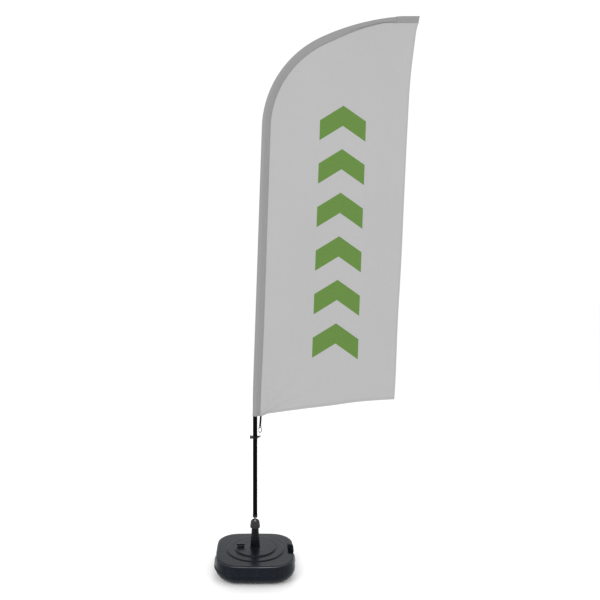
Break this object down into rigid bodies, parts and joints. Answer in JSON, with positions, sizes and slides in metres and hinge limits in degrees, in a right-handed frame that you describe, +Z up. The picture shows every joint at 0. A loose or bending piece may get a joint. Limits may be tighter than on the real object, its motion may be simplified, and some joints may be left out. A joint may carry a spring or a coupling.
{
  "type": "feather flag",
  "caption": "Feather flag on a curved pole that turns freely on a water-filled base, with a clamp nut, filler cap and a strap tensioner.",
  "frame": {"origin": "centre of the tank's flat underside, on the spindle's axis", "axes": "+Z up along the spindle, +X from the pole towards the flag's free edge, +Y square to the flag"},
  "size_m": [1.146, 0.44, 3.101],
  "materials": {
    "tank_plastic": "satin",
    "water": "clear filling",
    "stem_plastic": "polished moulding",
    "nut_plastic": "moulded",
    "cap_plastic": "moulded",
    "seal_rubber": "matte",
    "spindle_steel": "zinc plated",
    "bearing_steel": "ground",
    "cage_plastic": "moulded",
    "turning_metal": "turned",
    "bush_plastic": "moulded",
    "pole_black": "black anodised",
    "rod_fibre": "pultruded",
    "flag_cloth": "woven polyester",
    "sleeve_cloth": "woven polyester",
    "strap_web": "elastic webbing",
    "collar_black": "moulded",
    "hook_metal": "black coated",
    "gate_metal": "brushed",
    "link_metal": "plated",
    "screw_steel": "zinc plated",
    "pad_brass": "turned"
  },
  "bodies": {
    "base": {"base_tank": "tank_plastic", "water_ballast": "water", "base_stem": "stem_plastic", "spindle_shank": "spindle_steel", "bearing_inner_races": "bearing_steel", "inner_spacer": "spindle_steel", "axle_circlip": "spindle_steel"},
    "filler_seal": {"filler_seal": "seal_rubber"},
    "filler_cap": {"filler_cap": "cap_plastic"},
    "clamp_collet": {"clamp_collet": "bush_plastic"},
    "clamp_nut": {"clamp_nut": "nut_plastic"},
    "bearing_cage": {"bearing_cages": "cage_plastic", "bearing_balls": "bearing_steel"},
    "rotator": {"turning_sleeve": "turning_metal", "bearing_outer_races": "bearing_steel", "outer_spacer": "turning_metal", "sleeve_plug": "bush_plastic"},
    "mast": {"pole_end_bush": "bush_plastic", "pole_lower": "pole_black", "pole_middle": "pole_black", "top_ferrule": "turning_metal", "top_rod": "rod_fibre", "tip_cap": "bush_plastic", "flag_sleeve": "sleeve_cloth", "flag_panel": "flag_cloth", "tip_pocket": "sleeve_cloth"},
    "tension_collar": {"tension_collar": "collar_black", "tension_link": "link_metal", "snap_hook": "hook_metal", "gate_pin": "screw_steel", "tension_strap": "strap_web"},
    "collar_pad": {"collar_pad": "pad_brass"},
    "thumbscrew": {"thumbscrew_shank": "screw_steel", "thumbscrew_knob": "collar_black"},
    "hook_gate": {"hook_gate": "gate_metal"}
  },
  "joints": [
    {"name": "filler_seal_lift", "type": "slide", "parent": "base", "child": "filler_seal", "axis": [0, 0, 1], "range_m": [0, 0.0061]},
    {"name": "filler_cap_turn", "type": "hinge", "parent": "filler_seal", "child": "filler_cap", "pos_m": [-0.081, 0, 0.1255], "axis": [0, 0, 1], "range_deg": [0, 720]},
    {"name": "collet_lift", "type": "slide", "parent": "base", "child": "clamp_collet", "axis": [0, 0, 1], "range_m": [0, 0.0061]},
    {"name": "clamp_nut_turn", "type": "hinge", "parent": "clamp_collet", "child": "clamp_nut", "pos_m": [0, 0, 0.25], "axis": [0, 0, 1], "range_deg": [0, 540]},
    {"name": "rotator_spin", "type": "hinge", "parent": "base", "child": "rotator", "pos_m": [0, 0, 0.2935], "axis": [0, 0, 1], "continuous": true},
    {"name": "cage_spin", "type": "hinge", "parent": "base", "child": "bearing_cage", "pos_m": [0, 0, 0.2935], "axis": [0, 0, 1], "continuous": true},
    {"name": "mast_lift", "type": "slide", "parent": "rotator", "child": "mast", "axis": [0, 0, 1], "range_m": [0, 0.16]},
    {"name": "collar_slide", "type": "slide", "parent": "mast", "child": "tension_collar", "axis": [0, 0, 1], "range_m": [-0.035, 0.012], "deforming": ["tension_strap"]},
    {"name": "pad_slide", "type": "slide", "parent": "tension_collar", "child": "collar_pad", "axis": [-1, 0, 0], "range_m": [0, 0.0031]},
    {"name": "thumbscrew_turn", "type": "hinge", "parent": "collar_pad", "child": "thumbscrew", "pos_m": [-0.02, 0, 0.733], "axis": [-1, 0, 0], "range_deg": [0, 1080]},
    {"name": "gate_swing", "type": "hinge", "parent": "tension_collar", "child": "hook_gate", "pos_m": [0.021, 0, 0.7805], "axis": [0, -1, 0], "range_deg": [0, 25], "stiffness_Nm_per_rad": 0.01, "springref_deg": -17.19}
  ],
  "couplings": [
    {"joint": "filler_seal_lift", "follows": "filler_cap_turn", "m_per_rad": 0.00047746},
    {"joint": "collet_lift", "follows": "clamp_nut_turn", "m_per_rad": 0.00063662},
    {"joint": "cage_spin", "follows": "rotator_spin", "ratio": 0.599},
    {"joint": "pad_slide", "follows": "thumbscrew_turn", "m_per_rad": 0.00015915}
  ]
}
